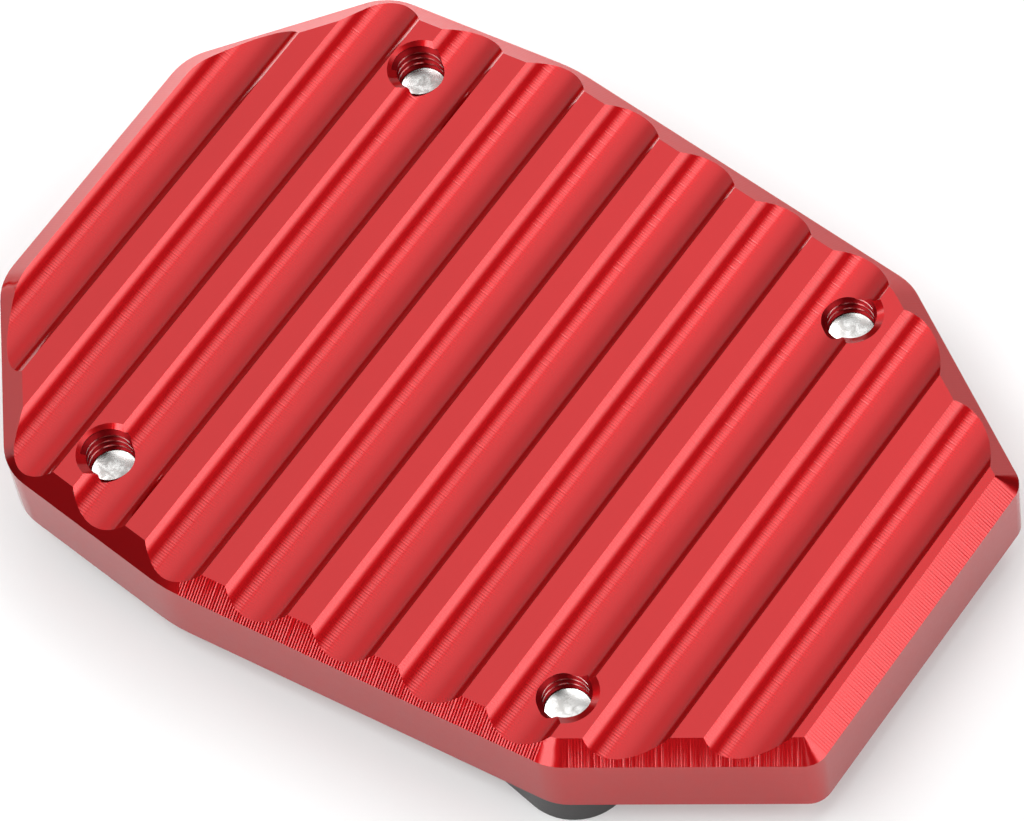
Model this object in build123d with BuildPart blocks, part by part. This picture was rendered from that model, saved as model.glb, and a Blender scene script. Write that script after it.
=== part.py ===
from build123d import *

import os
from math import cos, radians, sqrt, tan

# Kickstand foot enlarger: a ribbed base plate, a horseshoe clamp and four countersunk screws.
# The part lies with its ribbed ground face up. X runs along the plate from the blunt rear end to the
# tapered front end, Y runs along the ribs, and Z = 0 is the clamp's outer face. Sizes are in millimetres.

os.makedirs("parts", exist_ok=True)

# Base plate outline: widths are across the plate, setbacks are along it from the nearer end
plate_length = 85.3
plate_width = 60.3
plate_thickness = 8.0
rear_edge = 26.9
rear_shoulder_width = 56.2
rear_shoulder_setback = 11.7
widest_setback = 30.0
front_shoulder_width = 53.9
front_shoulder_setback = 18.5
front_edge = 30.6

# Rounding of the upright corners, from the rear end to the front end
rear_corner_radius = 5.5
rear_shoulder_radius = 5.5
widest_radius = 15.0
front_shoulder_radius = 5.0
front_corner_radius = 2.2

# Chamfer round the ground face
chamfer_width = 1.95
chamfer_depth = 1.4

# Ball-cut grooves across the ground face
groove_pitch = 8.3
groove_radius = 5.0
groove_depth = 1.0
first_groove_setback = 4.8

# Screws and the threaded holes that hold them
thread_diameter = 5.0
thread_clearance = 0.05
lead_in_diameter = 5.7
lead_in_angle = 120
screw_length = 8.0
head_diameter = 9.2
head_recess = 0.1
head_seat_clearance = 0.03
screw_hole_diameter = 5.5
socket_across_flats = 3.0
socket_depth = 1.9
end_chamfer = 0.5
end_dome_height = 0.12
rear_screw_setback = 19.0
rear_screw_spacing = 45.2
front_screw_setback = 20.7
front_screw_spacing = 42.1

# Pocket for the stand's foot, in the back of the base plate
pocket_length = 49.0
pocket_width = 33.0
pocket_corner_radius = 10.0
pocket_depth = 4.5

# Horseshoe clamp: its lip laps over the pocket's edge, and its flanks run in from the lobes to a waist
clamp_thickness = 3.0
clamp_lip = 4.0
rear_lobe_margin = 5.2
front_lobe_margin = 5.83
front_lobe_overhang = 5.55
lobe_radius = 5.0
rear_flank_angle = 9.0
front_flank_angle = 10.2
waist_radius = 30.0
arm_tip_radius = 4.0

# Levels and places that follow from the sizes above
back_level = clamp_thickness
land_level = back_level + plate_thickness
rear_x = -plate_length / 2
front_x = plate_length / 2
rear_screw = (rear_x + rear_screw_setback, rear_screw_spacing / 2)
front_screw = (front_x - front_screw_setback, front_screw_spacing / 2)
screw_places = [(x, side * y) for x, y in (rear_screw, front_screw) for side in (1, -1)]


def both_sides(far_points):
    """The far side's points, then their mirror images across the plate's middle, as one closed run."""
    return far_points + [(x, -y) for x, y in reversed(far_points)]


# Ribbed base plate: a chamfered ten-sided slab with round grooves that run out through the chamfer
far_corners = [
    (rear_x, rear_edge / 2),
    (rear_x + rear_shoulder_setback, rear_shoulder_width / 2),
    (rear_x + widest_setback, plate_width / 2),
    (front_x - front_shoulder_setback, front_shoulder_width / 2),
    (front_x, front_edge / 2),
]
far_radii = [rear_corner_radius, rear_shoulder_radius, widest_radius, front_shoulder_radius, front_corner_radius]

groove_half_width = sqrt(2 * groove_radius * groove_depth - groove_depth**2)
groove_run = plate_length - first_groove_setback - groove_half_width - chamfer_width
groove_count = int(groove_run // groove_pitch) + 1
groove_axis_level = land_level - groove_depth + groove_radius
groove_axes = [
    (rear_x + first_groove_setback + index * groove_pitch, groove_axis_level) for index in range(groove_count)
]

pocket_middle = (rear_screw[0] + front_screw[0]) / 2

with BuildPart() as base_plate:
    with BuildSketch(Plane.XY.offset(back_level)):
        with BuildLine():
            FilletPolyline(*both_sides(far_corners), radius=far_radii + far_radii[::-1], close=True)
        make_face()
    extrude(amount=plate_thickness)
    ground_face = base_plate.faces().sort_by(Axis.Z)[-1]
    chamfer(ground_face.edges(), length=chamfer_width, length2=chamfer_depth, reference=ground_face)
    with BuildSketch(Plane.XZ):
        with Locations(*groove_axes):
            Circle(groove_radius)
    extrude(amount=plate_width, both=True, mode=Mode.SUBTRACT)
    with BuildSketch(Plane.XY.offset(back_level)):
        with Locations((pocket_middle, 0)):
            RectangleRounded(pocket_length, pocket_width, pocket_corner_radius)
    extrude(amount=pocket_depth, mode=Mode.SUBTRACT)
    with Locations(*[(x, y, land_level) for x, y in screw_places]):
        CounterSinkHole(
            radius=thread_diameter / 2,
            counter_sink_radius=lead_in_diameter / 2,
            depth=plate_thickness,
            counter_sink_angle=lead_in_angle,
        )

base_plate.part.label = "ribbed_base_plate"
export_step(base_plate.part, "parts/ribbed_base_plate.step")


# Clamp: a horseshoe plate whose lobes sit round the screws, open at the front for the stand's leg
rear_slope = tan(radians(rear_flank_angle))
front_slope = tan(radians(front_flank_angle))
rear_reach = rear_screw[1] + rear_lobe_margin / cos(radians(rear_flank_angle))
front_reach = front_screw[1] + front_lobe_margin / cos(radians(front_flank_angle))
clamp_rear_x = rear_screw[0] - rear_lobe_margin
clamp_front_x = front_screw[0] + front_lobe_overhang
flank_rise = rear_reach - front_reach + rear_slope * rear_screw[0] + front_slope * front_screw[0]
waist_x = flank_rise / (rear_slope + front_slope)
slot_half_width = pocket_width / 2 - clamp_lip
slot_rear_x = pocket_middle - pocket_length / 2 + clamp_lip
slot_corner_radius = pocket_corner_radius - clamp_lip

far_clamp_corners = [
    (slot_rear_x, slot_half_width),
    (clamp_front_x, slot_half_width),
    (clamp_front_x, front_reach + front_slope * front_lobe_overhang),
    (waist_x, rear_reach - rear_slope * (waist_x - rear_screw[0])),
    (clamp_rear_x, rear_reach + rear_slope * rear_lobe_margin),
]
far_clamp_radii = [slot_corner_radius, arm_tip_radius, lobe_radius, waist_radius, lobe_radius]

with BuildPart() as clamp_frame:
    with BuildSketch():
        with BuildLine():
            FilletPolyline(
                *both_sides(far_clamp_corners), radius=far_clamp_radii + far_clamp_radii[::-1], close=True
            )
        make_face()
    extrude(amount=clamp_thickness)
    with Locations(*[Location((x, y, 0), (180, 0, 0)) for x, y in screw_places]):
        CounterSinkHole(
            radius=screw_hole_diameter / 2,
            counter_sink_radius=head_diameter / 2 + head_recess + head_seat_clearance,
            depth=clamp_thickness,
            counter_sink_angle=90,
        )

clamp_frame.part.label = "clamp_frame"
export_step(clamp_frame.part, "parts/clamp_frame.step")


# One countersunk socket screw, standing on its head, with a chamfered and slightly domed end
head_radius = head_diameter / 2
shank_radius = thread_diameter / 2 - thread_clearance
end_radius = shank_radius - end_chamfer
end_level = head_recess + screw_length
end_rim_level = end_level - end_dome_height

with BuildPart() as screw:
    with BuildSketch(Plane.XZ):
        with BuildLine():
            Polyline(
                (0, end_level),
                (0, head_recess),
                (head_radius, head_recess),
                (shank_radius, head_recess + head_radius - shank_radius),
                (shank_radius, end_rim_level - end_chamfer),
                (end_radius, end_rim_level),
            )
            TangentArc((0, end_level), (end_radius, end_rim_level), tangent=(1, 0))
        make_face()
    revolve(axis=Axis.Z)
    with BuildSketch(Plane.XY.offset(head_recess)):
        RegularPolygon(radius=socket_across_flats / 2, side_count=6, major_radius=False)
    extrude(amount=socket_depth, mode=Mode.SUBTRACT)

# The four screws of the clamp, one in each threaded hole
with BuildPart() as clamp_screws:
    with Locations(*screw_places):
        add(screw.part)

clamp_screws.part.label = "clamp_screws"
export_step(clamp_screws.part, "parts/clamp_screws.step")
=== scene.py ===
# %% [markdown]
# # A kickstand foot enlarger
# This part widens the foot of a motorbike's side stand, so that it doesn't sink into soft ground. It lies
# here with its ribbed ground face up: a red anodised base plate, a black clamp under it, and four steel
# screws whose ends show in the threaded holes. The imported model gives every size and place. Blender adds
# what the eye reads as milled metal: clean grooves, thread turns, cutter marks and the gloss of the dyed
# oxide.

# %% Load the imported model
import math

import bmesh
import bpy
from mathutils import Matrix, Vector


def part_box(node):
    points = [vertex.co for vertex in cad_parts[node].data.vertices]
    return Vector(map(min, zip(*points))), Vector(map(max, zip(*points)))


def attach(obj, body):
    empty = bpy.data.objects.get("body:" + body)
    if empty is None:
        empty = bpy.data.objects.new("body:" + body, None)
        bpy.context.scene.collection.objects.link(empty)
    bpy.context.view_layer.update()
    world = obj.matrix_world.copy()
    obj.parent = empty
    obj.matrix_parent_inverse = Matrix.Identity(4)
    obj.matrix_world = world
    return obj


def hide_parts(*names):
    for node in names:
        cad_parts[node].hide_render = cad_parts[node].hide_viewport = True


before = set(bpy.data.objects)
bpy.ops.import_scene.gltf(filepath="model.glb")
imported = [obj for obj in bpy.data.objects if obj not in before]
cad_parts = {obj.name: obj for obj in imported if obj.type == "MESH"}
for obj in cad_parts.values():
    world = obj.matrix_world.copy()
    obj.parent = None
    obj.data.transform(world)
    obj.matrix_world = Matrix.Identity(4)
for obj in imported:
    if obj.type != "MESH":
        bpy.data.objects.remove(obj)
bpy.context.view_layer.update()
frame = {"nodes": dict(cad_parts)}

MM = 0.001
plate_low, plate_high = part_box("ribbed_base_plate")

# %% [markdown]
# ## The camera
# The camera comes first, because everything else is seen through it. It stands half a metre away with a
# long lens, looks down at the front right of the plate, and is rolled a little, so that the plate lies
# diagonally in the picture.

# %% Camera
camera_place = Vector((186.515, -186.964, 440.708)) * MM
camera_azimuth = math.radians(44.6977)
camera_elevation = math.radians(58.7373)
camera_roll = math.radians(11.362)
lens_length = 211.78
sensor_width = 36.0


def camera_turn(azimuth, elevation, roll):
    """Rotation of a camera that looks at the part from these angles, rolled about its own view line."""
    back = Vector((math.sin(azimuth), -math.cos(azimuth), math.tan(elevation))).normalized()
    level_right = Vector((0, 0, 1)).cross(back).normalized()
    level_up = back.cross(level_right)
    right = math.cos(roll) * level_right - math.sin(roll) * level_up
    return Matrix((right, back.cross(right), back)).transposed()


camera_data = bpy.data.cameras.new("photo_camera")
camera_data.sensor_width = sensor_width
camera_data.lens = lens_length
camera = bpy.data.objects.new("photo_camera", camera_data)
camera.matrix_world = Matrix.LocRotScale(
    camera_place, camera_turn(camera_azimuth, camera_elevation, camera_roll).to_quaternion(), None
)
bpy.context.scene.collection.objects.link(camera)
bpy.context.scene.camera = camera
print("camera distance in mm:", round(camera_place.length / MM))

# %% [markdown]
# ## Helpers for node trees
# Every finish and every repeating shape below is a node tree. One function adds a node with its settings
# and links. Another turns a written colour, as a colour picker shows it, into the linear light that shaders
# work in, and a third starts a material.

# %% Helpers for node trees


def add_node(tree, kind, inputs=None, **settings):
    """Adds a node, sets its settings, and fills its inputs with values or with links from other sockets."""
    node = tree.nodes.new(kind)
    for name, value in settings.items():
        setattr(node, name, value)
    for name, value in (inputs or {}).items():
        if isinstance(value, bpy.types.NodeSocket):
            tree.links.new(value, node.inputs[name])
        else:
            node.inputs[name].default_value = value
    return node


def linear_colour(hex_code):
    """Linear red, green, blue and alpha of an sRGB colour written as six hex digits."""
    parts = [int(hex_code[i:i + 2], 16) / 255 for i in (0, 2, 4)]
    return [p / 12.92 if p <= 0.04045 else ((p + 0.055) / 1.055) ** 2.4 for p in parts] + [1.0]


def new_material(name):
    """An empty material and its Principled shader, already wired to the output."""
    material = bpy.data.materials.new(name)
    material.use_nodes = True
    material.node_tree.nodes.clear()
    shader = add_node(material.node_tree, "ShaderNodeBsdfPrincipled")
    add_node(material.node_tree, "ShaderNodeOutputMaterial", {"Surface": shader.outputs[0]})
    return material, shader


print("middle grey in linear light:", round(linear_colour("808080")[0], 3))

# %% [markdown]
# ## Red anodised aluminium, milled
# Anodising grows a clear, hard oxide on the milled aluminium, and a dye in its pores colours the light that
# goes through it to the metal and back. So there are two reflections: a broad deep red one from the metal,
# and a sharp white one from the top of the oxide. A Principled metal gives the first and its coat the
# second. The cutter left fine lines across its path. They come from two attributes of the plate's mesh: how
# far along the cut a point lies, in millimetres, and how deep the marks are there. A texture in space
# couldn't turn with the chamfer as it goes round the plate.

# %% Red anodised finish
oxide_index = 1.5
dyed_edge_tint = "C43F45"
dye_cloud_size = 6 * MM
satin_grain_size = 0.4 * MM
# The spacing is in millimetres along the cut. The real marks in the grooves lie about 0.2 mm apart, which
# is too fine for the picture, so all marks are drawn a little wider.
feed_mark_spacing = 0.26
feed_mark_unevenness = 0.9
feed_mark_height = 0.012 * MM


def red_anodised_finish():
    """Deep red with a sharp clear gloss, and feed marks across the cutter's path."""
    material, shader = new_material("red_anodised_milled_aluminium")
    tree = material.node_tree
    shader.inputs["Metallic"].default_value = 1.0
    shader.inputs["Specular Tint"].default_value = linear_colour(dyed_edge_tint)
    shader.inputs["Coat Weight"].default_value = 1.0
    shader.inputs["Coat Roughness"].default_value = 0.06
    shader.inputs["Coat IOR"].default_value = oxide_index

    place = add_node(tree, "ShaderNodeTexCoord").outputs["Object"]
    dye_cloud = add_node(
        tree, "ShaderNodeTexNoise", {"Vector": place, "Scale": 1 / dye_cloud_size, "Detail": 3.0}
    )
    dye = add_node(tree, "ShaderNodeMix", {"Factor": dye_cloud.outputs[0]}, data_type="RGBA")
    dye.inputs["A"].default_value = linear_colour("B80F15")
    dye.inputs["B"].default_value = linear_colour("BF1117")
    tree.links.new(dye.outputs["Result"], shader.inputs["Base Color"])

    grain = add_node(
        tree, "ShaderNodeTexNoise", {"Vector": place, "Scale": 1 / satin_grain_size, "Detail": 2.0}
    )
    satin = add_node(
        tree, "ShaderNodeMapRange", {"Value": grain.outputs[0], "To Min": 0.3, "To Max": 0.36}
    )
    tree.links.new(satin.outputs[0], shader.inputs["Roughness"])

    run = add_node(tree, "ShaderNodeAttribute", attribute_name="cutter_run").outputs["Fac"]
    depth = add_node(tree, "ShaderNodeAttribute", attribute_name="mark_depth").outputs["Fac"]
    turns = add_node(
        tree, "ShaderNodeMath", {0: run, 1: 2 * math.pi / feed_mark_spacing}, operation="MULTIPLY"
    )
    wave = add_node(tree, "ShaderNodeMath", {0: turns.outputs[0]}, operation="SINE")
    uneven = add_node(
        tree, "ShaderNodeTexNoise",
        {"W": run, "Scale": feed_mark_unevenness / feed_mark_spacing, "Detail": 2.0}, noise_dimensions="1D",
    )
    ridge = add_node(
        tree, "ShaderNodeMath", {0: wave.outputs[0], 1: uneven.outputs[0], 2: uneven.outputs[0]},
        operation="MULTIPLY_ADD",
    )
    height = add_node(tree, "ShaderNodeMath", {0: ridge.outputs[0], 1: depth}, operation="MULTIPLY")
    marks = add_node(tree, "ShaderNodeBump", {"Height": height.outputs[0], "Distance": feed_mark_height})
    tree.links.new(marks.outputs[0], shader.inputs["Normal"])
    tree.links.new(marks.outputs[0], shader.inputs["Coat Normal"])
    return material


red_anodised = red_anodised_finish()
print("finish:", red_anodised.name)

# %% [markdown]
# ## Red anodised aluminium, tapped, with painted shade
# A tap tears the metal a little, so the threads are the same red but rougher, with only a faint gloss. Their
# red is also painted darker, as painted shade for the inside of the holes. One noise, as fine as the torn
# metal, drives the tone, the dullness and the small bumps, so that all three change at the same spots.

# %% Tapped thread finish with painted shade
torn_metal_size = 0.2 * MM
torn_metal_height = 0.02 * MM


def painted_shade_thread_finish():
    """Dark crimson, painted darker as shade for the holes, with a dull sheen."""
    material, shader = new_material("red_anodised_tapped_aluminium_painted_shade")
    tree = material.node_tree
    shader.inputs["Metallic"].default_value = 1.0
    shader.inputs["Specular Tint"].default_value = linear_colour(dyed_edge_tint)
    shader.inputs["Coat Weight"].default_value = 0.1
    shader.inputs["Coat Roughness"].default_value = 0.25
    shader.inputs["Coat IOR"].default_value = oxide_index
    place = add_node(tree, "ShaderNodeTexCoord").outputs["Object"]
    torn = add_node(
        tree, "ShaderNodeTexNoise", {"Vector": place, "Scale": 1 / torn_metal_size, "Detail": 3.0}
    )
    # Both reds are darker than the milled red as painted shade for the inside of the holes; the noise only
    # varies them at random.
    dye = add_node(tree, "ShaderNodeMix", {"Factor": torn.outputs[0]}, data_type="RGBA")
    dye.inputs["A"].default_value = linear_colour("6A060B")
    dye.inputs["B"].default_value = linear_colour("8C0910")
    tree.links.new(dye.outputs["Result"], shader.inputs["Base Color"])
    dull = add_node(tree, "ShaderNodeMapRange", {"Value": torn.outputs[0], "To Min": 0.3, "To Max": 0.42})
    tree.links.new(dull.outputs[0], shader.inputs["Roughness"])
    rough = add_node(
        tree, "ShaderNodeBump",
        {"Height": torn.outputs[0], "Strength": 0.3, "Distance": torn_metal_height},
    )
    tree.links.new(rough.outputs[0], shader.inputs["Normal"])
    return material


thread_finish_with_painted_shade = painted_shade_thread_finish()
print("finish:", thread_finish_with_painted_shade.name)

# %% [markdown]
# ## Black anodised aluminium, satin
# The clamp is dyed black, which leaves only the reflection from the top of its oxide. It was blasted before
# anodising, so that reflection is broad and soft, with a fine grain. No metal shows through the black, so
# this is a plain Principled surface with the oxide's index and no coat.

# %% Black anodised finish
black_cloud_size = 3 * MM
blasted_grain_size = 0.16 * MM
blasted_pit_depth = 0.02 * MM


def black_anodised_finish():
    """Near black with a soft satin sheen and a fine blasted grain."""
    material, shader = new_material("black_anodised_blasted_aluminium")
    tree = material.node_tree
    shader.inputs["IOR"].default_value = oxide_index
    place = add_node(tree, "ShaderNodeTexCoord").outputs["Object"]
    cloud = add_node(
        tree, "ShaderNodeTexNoise", {"Vector": place, "Scale": 1 / black_cloud_size, "Detail": 4.0}
    )
    dye = add_node(tree, "ShaderNodeMix", {"Factor": cloud.outputs[0]}, data_type="RGBA")
    dye.inputs["A"].default_value = linear_colour("1A1617")
    dye.inputs["B"].default_value = linear_colour("231E1F")
    tree.links.new(dye.outputs["Result"], shader.inputs["Base Color"])
    blasted = add_node(
        tree, "ShaderNodeTexNoise", {"Vector": place, "Scale": 1 / blasted_grain_size, "Detail": 2.0}
    )
    satin = add_node(
        tree, "ShaderNodeMapRange", {"Value": blasted.outputs[0], "To Min": 0.3, "To Max": 0.42}
    )
    tree.links.new(satin.outputs[0], shader.inputs["Roughness"])
    pits = add_node(
        tree, "ShaderNodeBump",
        {"Height": blasted.outputs[0], "Strength": 0.35, "Distance": blasted_pit_depth},
    )
    tree.links.new(pits.outputs[0], shader.inputs["Normal"])
    return material


black_anodised = black_anodised_finish()
print("finish:", black_anodised.name)

# %% [markdown]
# ## Bright stainless steel, turned
# The screws are bright stainless steel. A lathe tool faced their ends, which leaves rings round the axis,
# and handling leaves dull patches. The rings follow an attribute that holds each point's distance from its
# own screw's axis, in millimetres, because one ring texture in space would have a single centre for all
# four.

# %% Bright steel finish
turning_ring_spacing = 0.17
turning_ring_share = 0.1
handled_patch_size = 0.9 * MM
steel_mark_height = 0.02 * MM


def bright_steel_finish():
    """Silver grey metal with fine turning rings and duller handled patches."""
    material, shader = new_material("bright_turned_stainless_steel")
    tree = material.node_tree
    shader.inputs["Metallic"].default_value = 1.0
    place = add_node(tree, "ShaderNodeTexCoord").outputs["Object"]
    patches = add_node(
        tree, "ShaderNodeTexNoise",
        {"Vector": place, "Scale": 1 / handled_patch_size, "Detail": 5.0, "Roughness": 0.6,
         "Distortion": 0.6},
    )
    handled = add_node(
        tree, "ShaderNodeMapRange",
        {"Value": patches.outputs[0], "From Min": 0.38, "From Max": 0.62}, interpolation_type="SMOOTHSTEP",
    )
    tone = add_node(tree, "ShaderNodeMix", {"Factor": handled.outputs[0]}, data_type="RGBA")
    tone.inputs["A"].default_value = linear_colour("C6C4C1")
    tone.inputs["B"].default_value = linear_colour("F0EFED")
    tree.links.new(tone.outputs["Result"], shader.inputs["Base Color"])
    dull = add_node(
        tree, "ShaderNodeMapRange", {"Value": handled.outputs[0], "To Min": 0.3, "To Max": 0.18}
    )
    tree.links.new(dull.outputs[0], shader.inputs["Roughness"])
    radius = add_node(tree, "ShaderNodeAttribute", attribute_name="turned_radius").outputs["Fac"]
    turns = add_node(
        tree, "ShaderNodeMath", {0: radius, 1: 2 * math.pi / turning_ring_spacing}, operation="MULTIPLY"
    )
    rings = add_node(tree, "ShaderNodeMath", {0: turns.outputs[0]}, operation="SINE")
    worn = add_node(
        tree, "ShaderNodeMath", {0: rings.outputs[0], 1: turning_ring_share, 2: patches.outputs[0]},
        operation="MULTIPLY_ADD",
    )
    marks = add_node(
        tree, "ShaderNodeBump", {"Height": worn.outputs[0], "Strength": 0.12, "Distance": steel_mark_height}
    )
    tree.links.new(marks.outputs[0], shader.inputs["Normal"])
    return material


bright_steel = bright_steel_finish()
print("finish:", bright_steel.name)

# %% [markdown]
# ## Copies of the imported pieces
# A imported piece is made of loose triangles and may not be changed. A copy with its corners merged is a
# closed mesh, which the next steps can cut. After the cuts it is shaded smooth, with each edge that turns
# by more than the facets of a round face kept sharp, and the large flat faces lead the shading at the edges
# they share.

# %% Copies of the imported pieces
merge_distance = 0.001 * MM
sharp_angle = math.radians(18)


def merged_copy(node_name, piece_name):
    """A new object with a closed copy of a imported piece's mesh."""
    mesh = frame["nodes"][node_name].data.copy()
    mesh.attributes.remove(mesh.attributes["custom_normal"])
    mesh.materials.clear()
    corners = bmesh.new()
    corners.from_mesh(mesh)
    bmesh.ops.remove_doubles(corners, verts=corners.verts, dist=merge_distance)
    corners.to_mesh(mesh)
    corners.free()
    piece = bpy.data.objects.new(piece_name, mesh)
    bpy.context.scene.collection.objects.link(piece)
    return piece


def bake_modifiers(piece):
    """Turns what the piece's modifiers make into its own plain mesh, and removes the modifiers."""
    scene_now = bpy.context.evaluated_depsgraph_get()
    finished = bpy.data.meshes.new_from_object(piece.evaluated_get(scene_now))
    piece.modifiers.clear()
    piece.data = finished
    return finished


def shade_by_edges(piece):
    """Smooth round faces, sharp edges, and flat faces that stay flat."""
    piece.data.shade_smooth()
    piece.data.set_sharp_from_angle(angle=sharp_angle)
    weighting = piece.modifiers.new("flat faces lead", "WEIGHTED_NORMAL")
    weighting.keep_sharp = True
    bake_modifiers(piece)


print("packed pieces to copy:", ", ".join(frame["nodes"]))

# %% [markdown]
# ## Geometry Nodes trees
# What repeats on this part is cut by Geometry Nodes. Each tree takes a piece's mesh and a number for each
# size, and ends in real geometry with one finish. A modifier's input is set by its socket's identifier,
# before the piece is first evaluated, and the result is kept as a plain mesh.

# %% Helpers for Geometry Nodes trees


def add_input(tree, name, kind, value=None):
    """Adds a named input to a Geometry Nodes tree."""
    socket = tree.interface.new_socket(name, in_out="INPUT", socket_type=kind)
    if value is not None:
        socket.default_value = value


def new_geometry_tree(name, sizes):
    """An empty Geometry Nodes tree with a Geometry input, a number for each size, and a Geometry output."""
    tree = bpy.data.node_groups.new(name, "GeometryNodeTree")
    add_input(tree, "Geometry", "NodeSocketGeometry")
    for size_name, value in sizes.items():
        add_input(tree, size_name, "NodeSocketFloat", value)
    add_input(tree, "Finish", "NodeSocketMaterial")
    tree.interface.new_socket("Geometry", in_out="OUTPUT", socket_type="NodeSocketGeometry")
    return tree, add_node(tree, "NodeGroupInput").outputs


def end_tree(tree, geometry, finish):
    """Closes a tree with real geometry in one finish."""
    real = add_node(tree, "GeometryNodeRealizeInstances", {"Geometry": geometry})
    dressed = add_node(tree, "GeometryNodeSetMaterial", {"Geometry": real.outputs[0], "Material": finish})
    add_node(tree, "NodeGroupOutput", {"Geometry": dressed.outputs[0]})


def run_tree(piece, tree, values):
    """Runs a Geometry Nodes tree on a piece, with its named inputs set, and keeps the plain mesh."""
    modifier = piece.modifiers.new(tree.name, "NODES")
    modifier.node_group = tree
    for socket in tree.interface.items_tree:
        if socket.in_out == "INPUT" and socket.name in values:
            modifier[socket.identifier] = values[socket.name]
    mesh = bake_modifiers(piece)
    mesh.materials.clear()
    mesh.materials.append(values["Finish"])
    mesh.polygons.foreach_set("material_index", [0] * len(mesh.polygons))


# %% [markdown]
# ## Screw threads
# The plate's holes hold a right-handed M5 thread, and so do the screws. A thread is one ridge that climbs
# as it goes round, so a spiral curve carries a trapezoid profile: the ridge that a tap leaves in the wall.
# Adding it to the plate makes the plate's thread, and cutting the same ridge, a little larger, out of the
# screws makes theirs, so the two interlock. A stack of rings would be simpler, but its turns wouldn't run
# out at the mouth.

# %% Thread ridges at the four holes
thread_pitch = 0.8 * MM
thread_outer_radius = 2.5 * MM
thread_crest_radius = 2.067 * MM
thread_crest_width = thread_pitch / 4
thread_flank_slope = math.tan(math.radians(30))
thread_steps_per_turn = 48

rear_screw = (-23.65 * MM, 22.6 * MM)
front_screw = (21.95 * MM, 21.05 * MM)


def distance_from_screw(place):
    """How far a place lies from the axis of the nearest screw."""
    x, y = rear_screw if place.x < 0 else front_screw
    return math.hypot(place.x - x, abs(place.y) - y)


def at_each_hole(tree, shape):
    """A real copy of a shape at each of the four screw holes."""
    pairs = [
        add_node(
            tree, "GeometryNodeMeshLine",
            {"Count": 2, "Start Location": (x, -y, 0.0), "Offset": (0.0, 2 * y, 0.0)},
        )
        for x, y in (rear_screw, front_screw)
    ]
    holes = add_node(tree, "GeometryNodeJoinGeometry")
    for pair in pairs:
        tree.links.new(pair.outputs[0], holes.inputs[0])
    placed = add_node(tree, "GeometryNodeInstanceOnPoints", {"Points": holes.outputs[0], "Instance": shape})
    return add_node(tree, "GeometryNodeRealizeInstances", {"Geometry": placed.outputs[0]}).outputs[0]


def ridge_profile(tree, outer_radius, growth):
    """The ridge's trapezoid, and the radius of the spiral that carries the trapezoid's middle."""
    deep = add_node(tree, "ShaderNodeMath", {0: outer_radius, 1: thread_crest_radius}, operation="SUBTRACT")
    ridge_height = add_node(
        tree, "ShaderNodeMath", {0: deep.outputs[0], 1: growth}, operation="ADD"
    ).outputs[0]
    # Growth moves the crest and both flanks out, and the flanks' slope takes back part of the crest's width.
    crest_width = add_node(
        tree, "ShaderNodeMath", {0: growth, 1: 2 - 2 * thread_flank_slope, 2: thread_crest_width},
        operation="MULTIPLY_ADD",
    ).outputs[0]
    root_width = add_node(
        tree, "ShaderNodeMath", {0: ridge_height, 1: 2 * thread_flank_slope, 2: crest_width},
        operation="MULTIPLY_ADD",
    ).outputs[0]
    profile = add_node(
        tree, "GeometryNodeCurvePrimitiveQuadrilateral",
        {"Bottom Width": root_width, "Top Width": crest_width, "Height": ridge_height, "Offset": 0.0},
        mode="TRAPEZOID",
    )
    turned = add_node(
        tree, "GeometryNodeTransform",
        {"Geometry": profile.outputs[0], "Rotation": (0.0, 0.0, math.radians(90))},
    )
    half_height = add_node(tree, "ShaderNodeMath", {0: ridge_height, 1: 0.5}, operation="MULTIPLY")
    middle = add_node(
        tree, "ShaderNodeMath", {0: outer_radius, 1: half_height.outputs[0]}, operation="SUBTRACT"
    )
    return turned.outputs[0], middle.outputs[0]


def thread_ridges(tree, inputs):
    """The four spiral ridges, from the inputs Start level, Turns, Growth and Outer radius."""
    profile, middle = ridge_profile(tree, inputs["Outer radius"], inputs["Growth"])
    climb = add_node(tree, "ShaderNodeMath", {0: inputs["Turns"], 1: thread_pitch}, operation="MULTIPLY")
    spiral = add_node(
        tree, "GeometryNodeCurveSpiral",
        {"Resolution": thread_steps_per_turn, "Rotations": inputs["Turns"], "Start Radius": middle,
         "End Radius": middle, "Height": climb.outputs[0], "Reverse": True},
    )
    upright = add_node(tree, "GeometryNodeSetCurveNormal", {"Curve": spiral.outputs[0]}, mode="Z_UP")
    ridge = add_node(
        tree, "GeometryNodeCurveToMesh",
        {"Curve": upright.outputs[0], "Profile Curve": profile, "Fill Caps": True},
    )
    start = add_node(tree, "ShaderNodeCombineXYZ", {"Z": inputs["Start level"]})
    raised = add_node(
        tree, "GeometryNodeTransform", {"Geometry": ridge.outputs[0], "Translation": start.outputs[0]}
    )
    return at_each_hole(tree, raised.outputs[0])


print("thread depth in mm:", round((thread_outer_radius - thread_crest_radius) / MM, 3))

# %% [markdown]
# ## Cutters for the grooves
# A ball-nosed cutter milled the grooves, so each is part of a cylinder that runs out through the chamfer.
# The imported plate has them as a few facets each, which a gloss this sharp would show. So each groove is cut
# again, a few micrometres deeper, with an arc of a degree a step. The cutter is that arc, closed by its
# chord and swept along Y, and a row of points repeats it at the grooves' pitch.

# %% Groove cutters
groove_pitch = 8.3 * MM
groove_radius = 5.0 * MM
groove_depth = 1.0 * MM
groove_count = 10
first_groove_setback = 4.8 * MM
recut = 0.004 * MM
cutter_half_angle = math.radians(48)
cutter_overrun = 1.2
arc_steps = 97


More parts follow.
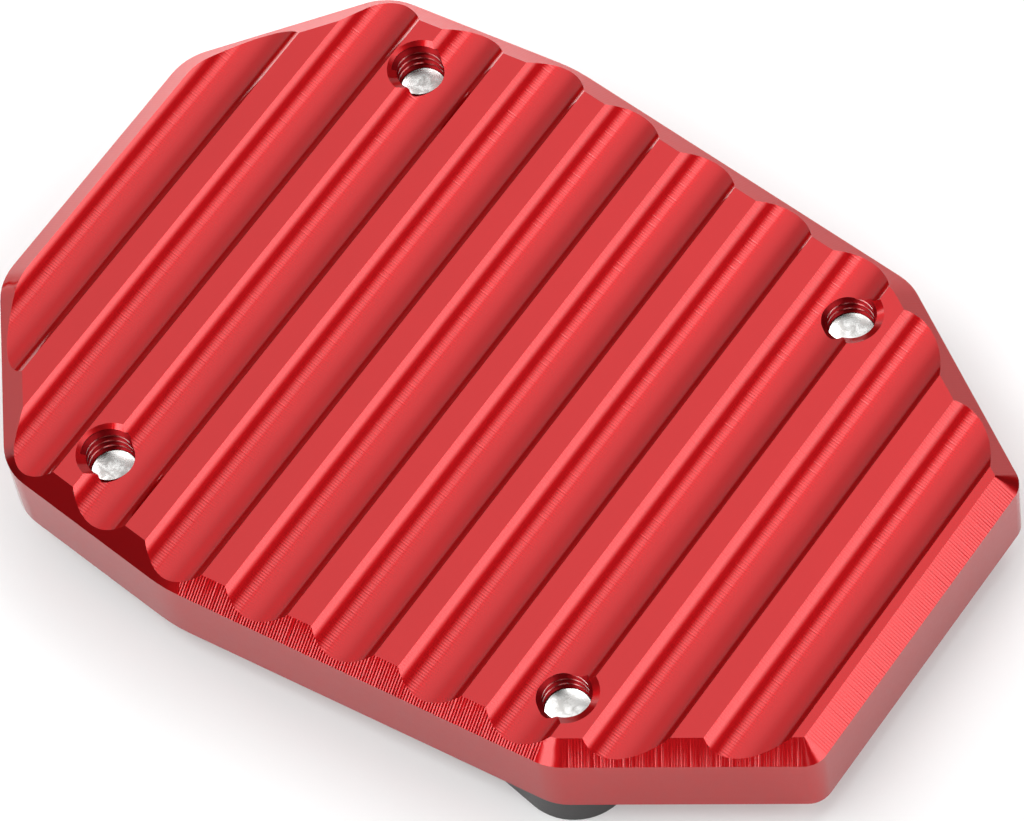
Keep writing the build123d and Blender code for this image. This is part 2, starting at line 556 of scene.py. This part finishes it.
def groove_cutters(tree, inputs):
    """The row of cutters, from the inputs Groove pitch, Groove radius, Groove depth and Land level."""
    arc = add_node(
        tree, "GeometryNodeCurveArc",
        {"Resolution": arc_steps, "Radius": inputs["Groove radius"],
         "Start Angle": math.radians(90) - cutter_half_angle, "Sweep Angle": 2 * cutter_half_angle},
    )
    closed_arc = add_node(tree, "GeometryNodeSetSplineCyclic", {"Geometry": arc.outputs[0], "Cyclic": True})
    run = add_node(
        tree, "GeometryNodeCurvePrimitiveLine",
        {"Start": (0.0, plate_low.y * cutter_overrun, 0.0),
         "End": (0.0, plate_high.y * cutter_overrun, 0.0)},
    )
    upright = add_node(tree, "GeometryNodeSetCurveNormal", {"Curve": run.outputs[0]}, mode="Z_UP")
    cutter = add_node(
        tree, "GeometryNodeCurveToMesh",
        {"Curve": upright.outputs[0], "Profile Curve": closed_arc.outputs[0], "Fill Caps": True},
    )
    lift = add_node(
        tree, "ShaderNodeMath", {0: inputs["Groove radius"], 1: inputs["Groove depth"]},
        operation="SUBTRACT",
    )
    axis_level = add_node(
        tree, "ShaderNodeMath", {0: inputs["Land level"], 1: lift.outputs[0]}, operation="ADD"
    )
    first_x = plate_low.x + first_groove_setback
    first = add_node(tree, "ShaderNodeCombineXYZ", {"X": first_x, "Z": axis_level.outputs[0]})
    step = add_node(tree, "ShaderNodeCombineXYZ", {"X": inputs["Groove pitch"]})
    row = add_node(
        tree, "GeometryNodeMeshLine",
        {"Count": groove_count, "Start Location": first.outputs[0], "Offset": step.outputs[0]},
    )
    cutters = add_node(
        tree, "GeometryNodeInstanceOnPoints", {"Points": row.outputs[0], "Instance": cutter.outputs[0]}
    )
    return add_node(tree, "GeometryNodeRealizeInstances", {"Geometry": cutters.outputs[0]}).outputs[0]


groove_half_width = math.sqrt(groove_depth * (2 * groove_radius - groove_depth))
print("groove width at the lands in mm:", round(2 * groove_half_width / MM, 2))

# %% [markdown]
# ## Cutters for the mouths of the holes
# Each hole starts with a shallow countersunk mouth, which leads the screw in and takes the burr off the
# thread. It is cut last, by a cone with its middle at the level of the lands, so that the thread runs out
# in it.

# %% Mouth cutters
mouth_radius = 2.85 * MM
mouth_slope = math.tan(math.radians(60))
mouth_reach = 0.6 * MM
mouth_steps = 96


def mouth_cutters(tree, inputs):
    """A cone at each hole, from the inputs Mouth radius and Land level."""
    flare = mouth_reach * mouth_slope
    narrow = add_node(tree, "ShaderNodeMath", {0: inputs["Mouth radius"], 1: flare}, operation="SUBTRACT")
    wide = add_node(tree, "ShaderNodeMath", {0: inputs["Mouth radius"], 1: flare}, operation="ADD")
    cone = add_node(
        tree, "GeometryNodeMeshCone",
        {"Vertices": mouth_steps, "Radius Top": wide.outputs[0], "Radius Bottom": narrow.outputs[0],
         "Depth": 2 * mouth_reach},
    )
    foot = add_node(tree, "ShaderNodeMath", {0: inputs["Land level"], 1: mouth_reach}, operation="SUBTRACT")
    place = add_node(tree, "ShaderNodeCombineXYZ", {"Z": foot.outputs[0]})
    mouth = add_node(
        tree, "GeometryNodeTransform", {"Geometry": cone.outputs[0], "Translation": place.outputs[0]}
    )
    return at_each_hole(tree, mouth.outputs[0])


print("mouth width at the lands in mm:", round(2 * mouth_radius / MM, 2))

# %% [markdown]
# ## The ribbed base plate
# The plate is one piece of thick aluminium plate with ten sides, a wide chamfer and ten grooves. Its tree
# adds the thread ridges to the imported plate, then cuts the grooves and the mouths, so that ridge, groove
# and mouth run out into each other as they do on the real part. Booleans keep every edge as crisp as a
# cutter leaves it, where a subdivided mesh would round them.

# %% Base plate
thread_phase = 0.56 * MM
thread_run_out = 0.2 * MM
wall_bite = 0.06 * MM
plate_thread_start = plate_low.z + thread_phase
plate_thread_turns = (plate_high.z + thread_run_out - plate_thread_start) / thread_pitch


def plate_tree():
    """Adds the thread ridges to the plate, then cuts its grooves and hole mouths."""
    tree, inputs = new_geometry_tree(
        "cut_ribbed_plate",
        {"Start level": 0.0, "Turns": 1.0, "Growth": 0.0, "Outer radius": thread_outer_radius,
         "Groove pitch": groove_pitch, "Groove radius": groove_radius, "Land level": 0.0,
         "Groove depth": groove_depth, "Mouth radius": mouth_radius},
    )
    threaded = add_node(tree, "GeometryNodeMeshBoolean", operation="UNION", solver="MANIFOLD")
    tree.links.new(inputs["Geometry"], threaded.inputs["Mesh 2"])
    tree.links.new(thread_ridges(tree, inputs), threaded.inputs["Mesh 2"])
    shape = threaded.outputs[0]
    for cutters in (groove_cutters(tree, inputs), mouth_cutters(tree, inputs)):
        shape = add_node(
            tree, "GeometryNodeMeshBoolean", {"Mesh 1": shape, "Mesh 2": cutters},
            operation="DIFFERENCE", solver="MANIFOLD",
        ).outputs[0]
    end_tree(tree, shape, inputs["Finish"])
    return tree


plate = merged_copy("ribbed_base_plate", "red_base_plate")
run_tree(
    plate, plate_tree(),
    {"Start level": plate_thread_start, "Turns": plate_thread_turns, "Growth": 0.0,
     "Outer radius": thread_outer_radius + wall_bite, "Groove pitch": groove_pitch,
     "Groove radius": groove_radius + recut, "Land level": plate_high.z,
     "Groove depth": groove_depth + recut, "Mouth radius": mouth_radius + recut,
     "Finish": red_anodised},
)
shade_by_edges(plate)
print("plate faces:", len(plate.data.polygons))

# %% [markdown]
# ## The finish of the threads
# The flanks and roots of the threads take the tapped finish, whose darker red is painted shade: the faces
# within the bore of a hole, apart from its smooth mouth. The crests keep the milled finish, because they are
# what the drill left before the tap.

# %% Finish of the threads
mouth_tolerance = 0.02 * MM
crest_tolerance = 0.03 * MM
level_face = 0.999


def finish_threads(piece, finish):
    """Gives the flanks and roots of the four threads their own finish, painted darker as shade."""
    piece.data.materials.append(finish)
    threaded = 0
    for face in piece.data.polygons:
        radius = distance_from_screw(face.center)
        mouth = mouth_radius + recut - (plate_high.z - face.center.z) * mouth_slope
        in_bore = radius < thread_outer_radius + wall_bite and abs(face.normal.z) < level_face
        off_crest = radius > thread_crest_radius + crest_tolerance
        if in_bore and off_crest and abs(radius - mouth) > mouth_tolerance:
            face.material_index = 1
            threaded += 1
    return threaded


print("thread faces:", finish_threads(plate, thread_finish_with_painted_shade))

# %% [markdown]
# ## Where the cutter ran
# Feed marks lie across the cutter's path. In the grooves the path is along Y, and the side of each groove
# that faces the rear was cut cleaner. On the chamfer and the walls the path follows the outline, so there
# the run is measured along each straight side, and the rounded corners, where the cutter dwelt, stay
# smooth. The marks are deepest where the cutter chattered, on the two sides at the front right, and they
# deepen towards the chamfer's outer edge.

# %% Cutter marks on the plate
# Depth of the marks on the chamfer of each side, by the side's heading in degrees from the front end
side_marks = {
    0: 0.44, 58: 0.2, 85: 0.2, 96: 0.2, 142: 0.2,
    180: 0.2, -142: 0.3, -96: 0.12, -85: 1.0, -58: 0.82,
}
side_tolerance = 0.6
groove_mark = 0.25
clean_mark = 0.04
clean_slope = -0.05
wall_mark = 0.05
inner_share = 0.44
chamfer_drop = 1.4 * MM
# Limits on a face's place and normal, which tell the grooves, the chamfer and the walls apart
chamfer_foot = plate_high.z - 2.0 * MM
groove_limit_x = plate_high.x - 2.05 * MM
groove_lean = 0.001
least_tilt = 0.05
least_rise = 0.5


def cutter_path(face):
    """Which way the cutter ran over a face, how deep its marks are, and if the face is on the chamfer."""
    normal = face.normal
    along_grooves = Vector((0.0, 1.0, 0.0))
    tilt = math.hypot(normal.x, normal.y)
    if tilt <= least_tilt:
        return along_grooves, 0.0, False
    if abs(normal.y) < groove_lean and normal.z > least_rise and abs(face.center.x) < groove_limit_x:
        mark = groove_mark if normal.x > clean_slope else clean_mark
        return along_grooves, mark, False
    heading = math.degrees(math.atan2(normal.y, normal.x))
    turn = {side: abs((heading - side + 180) % 360 - 180) for side in side_marks}
    side = min(turn, key=turn.get)
    outward = normal.x * face.center.x + normal.y * face.center.y > 0
    if turn[side] < side_tolerance and outward:
        along_side = Vector((-normal.y, normal.x, 0.0)) / tilt
        if normal.z > least_rise and face.center.z > chamfer_foot:
            return along_side, side_marks[side], True
        if abs(normal.z) < least_tilt:
            return along_side, wall_mark, False
    return along_grooves, 0.0, False


def write_cutter_marks(mesh):
    """Stores, at every face corner, the distance along the cut in mm and the depth of the marks."""
    run = mesh.attributes.new("cutter_run", "FLOAT", "CORNER")
    depth = mesh.attributes.new("mark_depth", "FLOAT", "CORNER")
    chamfered = 0
    for face in mesh.polygons:
        along, face_depth, on_chamfer = cutter_path(face)
        chamfered += on_chamfer
        for corner in face.loop_indices:
            place = mesh.vertices[mesh.loops[corner].vertex_index].co
            outer = (plate_high.z - place.z) / chamfer_drop if on_chamfer else 1.0
            run.data[corner].value = place.dot(along) / MM
            depth.data[corner].value = face_depth * (inner_share + (1 - inner_share) * outer)
    return chamfered


print("chamfer faces with marks:", write_cutter_marks(plate.data))
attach(plate, "root")
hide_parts("ribbed_base_plate")

# %% [markdown]
# ## The screws
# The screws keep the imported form. A lathe tool that cuts a little deeper at the axis leaves an end slightly
# hollow, so a large ball is cut from each end, which gives it one bright and one dark side. Then the thread
# is cut, and it runs out through the chamfered end.

# %% Screws
thread_play = 0.03 * MM
screw_run_out = 0.6 * MM
end_dome_height = 0.12 * MM
end_rim_radius = 1.97 * MM
hollow_depth = 0.25 * MM
hollow_segments = 48
hollow_rings = 240

screw_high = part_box("clamp_screws")[1]
screw_thread_turns = (screw_high.z + screw_run_out - plate_thread_start) / thread_pitch
end_rim_level = screw_high.z - end_dome_height
hollow_radius = (end_rim_radius**2 + hollow_depth**2) / (2 * hollow_depth)


def hollow_balls(tree, inputs):
    """A ball over each screw's end, from the inputs Hollow radius and Hollow centre."""
    ball = add_node(
        tree, "GeometryNodeMeshUVSphere",
        {"Segments": hollow_segments, "Rings": hollow_rings, "Radius": inputs["Hollow radius"]},
    )
    lift = add_node(tree, "ShaderNodeCombineXYZ", {"Z": inputs["Hollow centre"]})
    lifted = add_node(
        tree, "GeometryNodeTransform", {"Geometry": ball.outputs[0], "Translation": lift.outputs[0]}
    )
    return at_each_hole(tree, lifted.outputs[0])


def screw_tree():
    """Hollows the screws' ends, then cuts their threads."""
    tree, inputs = new_geometry_tree(
        "cut_screw_threads",
        {"Start level": 0.0, "Turns": 1.0, "Growth": 0.0, "Outer radius": thread_outer_radius,
         "Hollow radius": 1.0, "Hollow centre": 1.0},
    )
    shape = inputs["Geometry"]
    for cutters in (hollow_balls(tree, inputs), thread_ridges(tree, inputs)):
        shape = add_node(
            tree, "GeometryNodeMeshBoolean", {"Mesh 1": shape, "Mesh 2": cutters},
            operation="DIFFERENCE", solver="MANIFOLD",
        ).outputs[0]
    end_tree(tree, shape, inputs["Finish"])
    return tree


screws = merged_copy("clamp_screws", "steel_screws")
run_tree(
    screws, screw_tree(),
    {"Start level": plate_thread_start, "Turns": screw_thread_turns, "Growth": thread_play,
     "Outer radius": thread_outer_radius, "Hollow radius": hollow_radius,
     "Hollow centre": end_rim_level - hollow_depth + hollow_radius, "Finish": bright_steel},
)
shade_by_edges(screws)
turned = screws.data.attributes.new("turned_radius", "FLOAT", "POINT")
for index, vertex in enumerate(screws.data.vertices):
    turned.data[index].value = distance_from_screw(vertex.co) / MM
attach(screws, "root")
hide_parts("clamp_screws")
print("screw faces:", len(screws.data.polygons))

# %% [markdown]
# ## The clamp
# The clamp is a plain horseshoe. Its edges were broken by hand before blasting, so a small bevel catches
# the light along them. The Bevel modifier finds these edges by their angle and leaves the facets of the
# round corners alone.

# %% Clamp
edge_break = 0.12 * MM
edge_break_steps = 2
edge_break_angle = math.radians(40)

clamp = merged_copy("clamp_frame", "black_clamp")
clamp.data.materials.append(black_anodised)
broken = clamp.modifiers.new("broken edges", "BEVEL")
broken.width = edge_break
broken.segments = edge_break_steps
broken.limit_method = "ANGLE"
broken.angle_limit = edge_break_angle
bake_modifiers(clamp)
shade_by_edges(clamp)
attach(clamp, "root")
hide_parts("clamp_frame")
print("clamp faces:", len(clamp.data.polygons))

# %% [markdown]
# ## The floor
# The part lies on a plain white sweep. To the eye and in mirrors, a share of it is even white of its own,
# and the rest is lit paper, which keeps the soft shadow under the part. A floor of even white alone would
# leave the part floating.

# %% Floor
floor_half_size = 3.0
shadow_share = 0.75


def white_sweep_finish():
    """White paper, lit by the studio, with a share of even white for the eye and for mirrors."""
    material = bpy.data.materials.new("white_paper_sweep")
    material.use_nodes = True
    tree = material.node_tree
    tree.nodes.clear()
    paper = add_node(tree, "ShaderNodeBsdfDiffuse", {"Color": linear_colour("F2F2F2")})
    white = add_node(tree, "ShaderNodeEmission", {"Color": (1.0, 1.0, 1.0, 1.0), "Strength": 1.0})
    ray = add_node(tree, "ShaderNodeLightPath").outputs
    seen = ray["Is Camera Ray"]
    for other_look in ("Is Glossy Ray", "Is Transmission Ray"):
        seen = add_node(
            tree, "ShaderNodeMath", {0: seen, 1: ray[other_look]}, operation="MAXIMUM"
        ).outputs[0]
    share = add_node(tree, "ShaderNodeMath", {0: seen, 1: 1 - shadow_share}, operation="MULTIPLY")
    mixed = add_node(
        tree, "ShaderNodeMixShader", {0: share.outputs[0], 1: paper.outputs[0], 2: white.outputs[0]}
    )
    add_node(tree, "ShaderNodeOutputMaterial", {"Surface": mixed.outputs[0]})
    return material


floor_mesh = bpy.data.meshes.new("white_sweep")
floor_corners = [
    (x * floor_half_size, y * floor_half_size, 0) for x, y in ((-1, -1), (1, -1), (1, 1), (-1, 1))
]
floor_mesh.from_pydata(floor_corners, [], [(0, 1, 2, 3)])
floor_mesh.materials.append(white_sweep_finish())
floor = bpy.data.objects.new("white_sweep", floor_mesh)
bpy.context.scene.collection.objects.link(floor)
print("floor side in m:", 2 * floor_half_size)

# %% [markdown]
# ## The studio
# Glossy metal shows its surroundings, so the light is a dome with soft panels, far enough away that each
# groove mirrors the same picture. A place on the dome is given as on a flat ceiling one unit up: how far
# over in X and in Y. A bright side panel and an overhead strip, with a dark gap between them, draw the
# light strip, the dark line and the bright band along each groove. The key lamp over the part lights the
# floor, and no large face mirrors it into the camera. Low on the far side stands a white backdrop, which
# the far front chamfer mirrors.

# %% Studio panels
# Each side of a panel is given as a place and the half width of its soft edge.
panels = {
    "side panel": {"x": ((0.69, 0.14), (2.0, 0.5)), "y": ((-0.1, 0.15), (0.85, 0.45)), "glow": 3.7},
    "overhead strip": {"x": ((-0.035, 0.06), (0.215, 0.13)), "y": ((0.3, 0.15), (1.3, 0.3)), "glow": 2.5},
    "strip core": {"x": ((-0.03, 0.06), (0.27, 0.1)), "y": ((0.56, 0.08), (1.1, 0.3)), "glow": 4.6},
    "overhead panel": {"x": ((-0.8, 0.5), (-0.055, 0.06)), "y": ((0.15, 0.1), (1.6, 0.4)), "glow": 0.63},
    "rear overhead panel": {"x": ((-0.9, 0.15), (-0.1, 0.08)), "y": ((0.72, 0.1), (1.3, 0.3)), "glow": 1.7},
    "left wall": {"x": ((-4.6, 1.2), (-0.055, 0.06)), "y": ((0.1, 0.15), (4.0, 0.6)), "glow": 0.54},
    "left panel": {"x": ((-2.2, 0.3), (-1.2, 0.2)), "y": ((-0.15, 0.15), (0.4, 0.1)), "glow": 4.8},
    "rear left panel": {"x": ((-24.0, 8.0), (-3.6, 0.5)), "y": ((-1.6, 0.3), (1.15, 0.45)), "glow": 1.1},
    "rear horizon panel": {"x": ((-60.0, 5.0), (-11.0, 2.0)), "y": ((0.6, 0.5), (3.2, 0.6)), "glow": 1.1},
    "camera left panel": {"x": ((-0.85, 0.12), (-0.5, 0.12)), "y": ((-0.6, 0.12), (-0.1, 0.1)), "glow": 4.0},
    "front strip": {"x": ((-0.24, 0.07), (0.15, 0.07)), "y": ((-1.7, 0.2), (-0.8, 0.1)), "glow": 4.2},
    "front right panel": {"x": ((0.68, 0.1), (2.0, 0.4)), "y": ((-1.3, 0.2), (-0.64, 0.1)), "glow": 3.0},
    "key lamp": {"x": ((-0.5, 0.12), (0.0, 0.08)), "y": ((-0.78, 0.08), (-0.05, 0.1)), "glow": 4.6},
}
dome_glow = 0.05
backdrop_glow = 1.1
backdrop_top = (0.16, 0.06)
backdrop_side = (0.72, 0.16)
lowest_ceiling_look = 0.02
rising = (0.0, 1.0)
falling = (1.0, 0.0)


def soft_patch(tree, edges):
    """A mask that is 1 within all of its soft edges and 0 outside them."""
    mask = 1.0
    for value, (place, soft), (before, after) in edges:
        edge = add_node(
            tree, "ShaderNodeMapRange",
            {"Value": value, "From Min": place - soft, "From Max": place + soft,
             "To Min": before, "To Max": after},
            interpolation_type="SMOOTHSTEP",
        )
        mask = add_node(
            tree, "ShaderNodeMath", {0: mask, 1: edge.outputs[0]}, operation="MULTIPLY"
        ).outputs[0]
    return mask


def studio_dome():
    """A world with a faint even glow, soft bright panels and a low backdrop."""
    world = bpy.data.worlds.new("studio_dome")
    world.use_nodes = True
    tree = world.node_tree
    tree.nodes.clear()
    way = add_node(tree, "ShaderNodeTexCoord").outputs["Generated"]
    look = add_node(tree, "ShaderNodeSeparateXYZ", {0: way}).outputs
    up = add_node(tree, "ShaderNodeMath", {0: look["Z"], 1: lowest_ceiling_look}, operation="MAXIMUM")
    over_x, over_y = [
        add_node(tree, "ShaderNodeMath", {0: look[axis], 1: up.outputs[0]}, operation="DIVIDE").outputs[0]
        for axis in ("X", "Y")
    ]
    patches = []
    for panel in panels.values():
        edges = []
        for over, (first, last) in ((over_x, panel["x"]), (over_y, panel["y"])):
            edges += [(over, first, rising), (over, last, falling)]
        patches.append((edges, panel["glow"]))
    backdrop = [(look["Z"], backdrop_top, falling), (look["Y"], backdrop_side, rising)]
    patches.append((backdrop, backdrop_glow))
    total = dome_glow
    for edges, glow in patches:
        mask = soft_patch(tree, edges)
        total = add_node(
            tree, "ShaderNodeMath", {0: mask, 1: glow, 2: total}, operation="MULTIPLY_ADD"
        ).outputs[0]
    light = add_node(tree, "ShaderNodeBackground", {"Color": (1.0, 1.0, 1.0, 1.0), "Strength": total})
    add_node(tree, "ShaderNodeOutputWorld", {"Surface": light.outputs[0]})
    return world


bpy.context.scene.world = studio_dome()
bpy.context.scene.view_settings.view_transform = "Standard"
print("panels:", ", ".join(panels))

# %% [markdown]
# ## A lamp for the sweep
# The panels leave the floor behind the part a little grey. A small lamp with a narrow beam lifts it to
# white there. It is kept out of mirror looks, so that no groove or edge shows it.

# %% Sweep lamp
sweep_lamp_place = Vector((-115, 90, 230)) * MM
sweep_lamp_size = 60 * MM
sweep_lamp_spread = math.radians(46)
sweep_lamp_energy = 0.15

sweep_lamp_data = bpy.data.lights.new("sweep_lamp", "AREA")
sweep_lamp_data.shape = "DISK"
sweep_lamp_data.size = sweep_lamp_size
sweep_lamp_data.spread = sweep_lamp_spread
sweep_lamp_data.energy = sweep_lamp_energy
sweep_lamp = bpy.data.objects.new("sweep_lamp", sweep_lamp_data)
sweep_lamp.visible_glossy = False
sweep_lamp.location = sweep_lamp_place
bpy.context.scene.collection.objects.link(sweep_lamp)
print("sweep lamp height in mm:", round(sweep_lamp_place.z / MM))
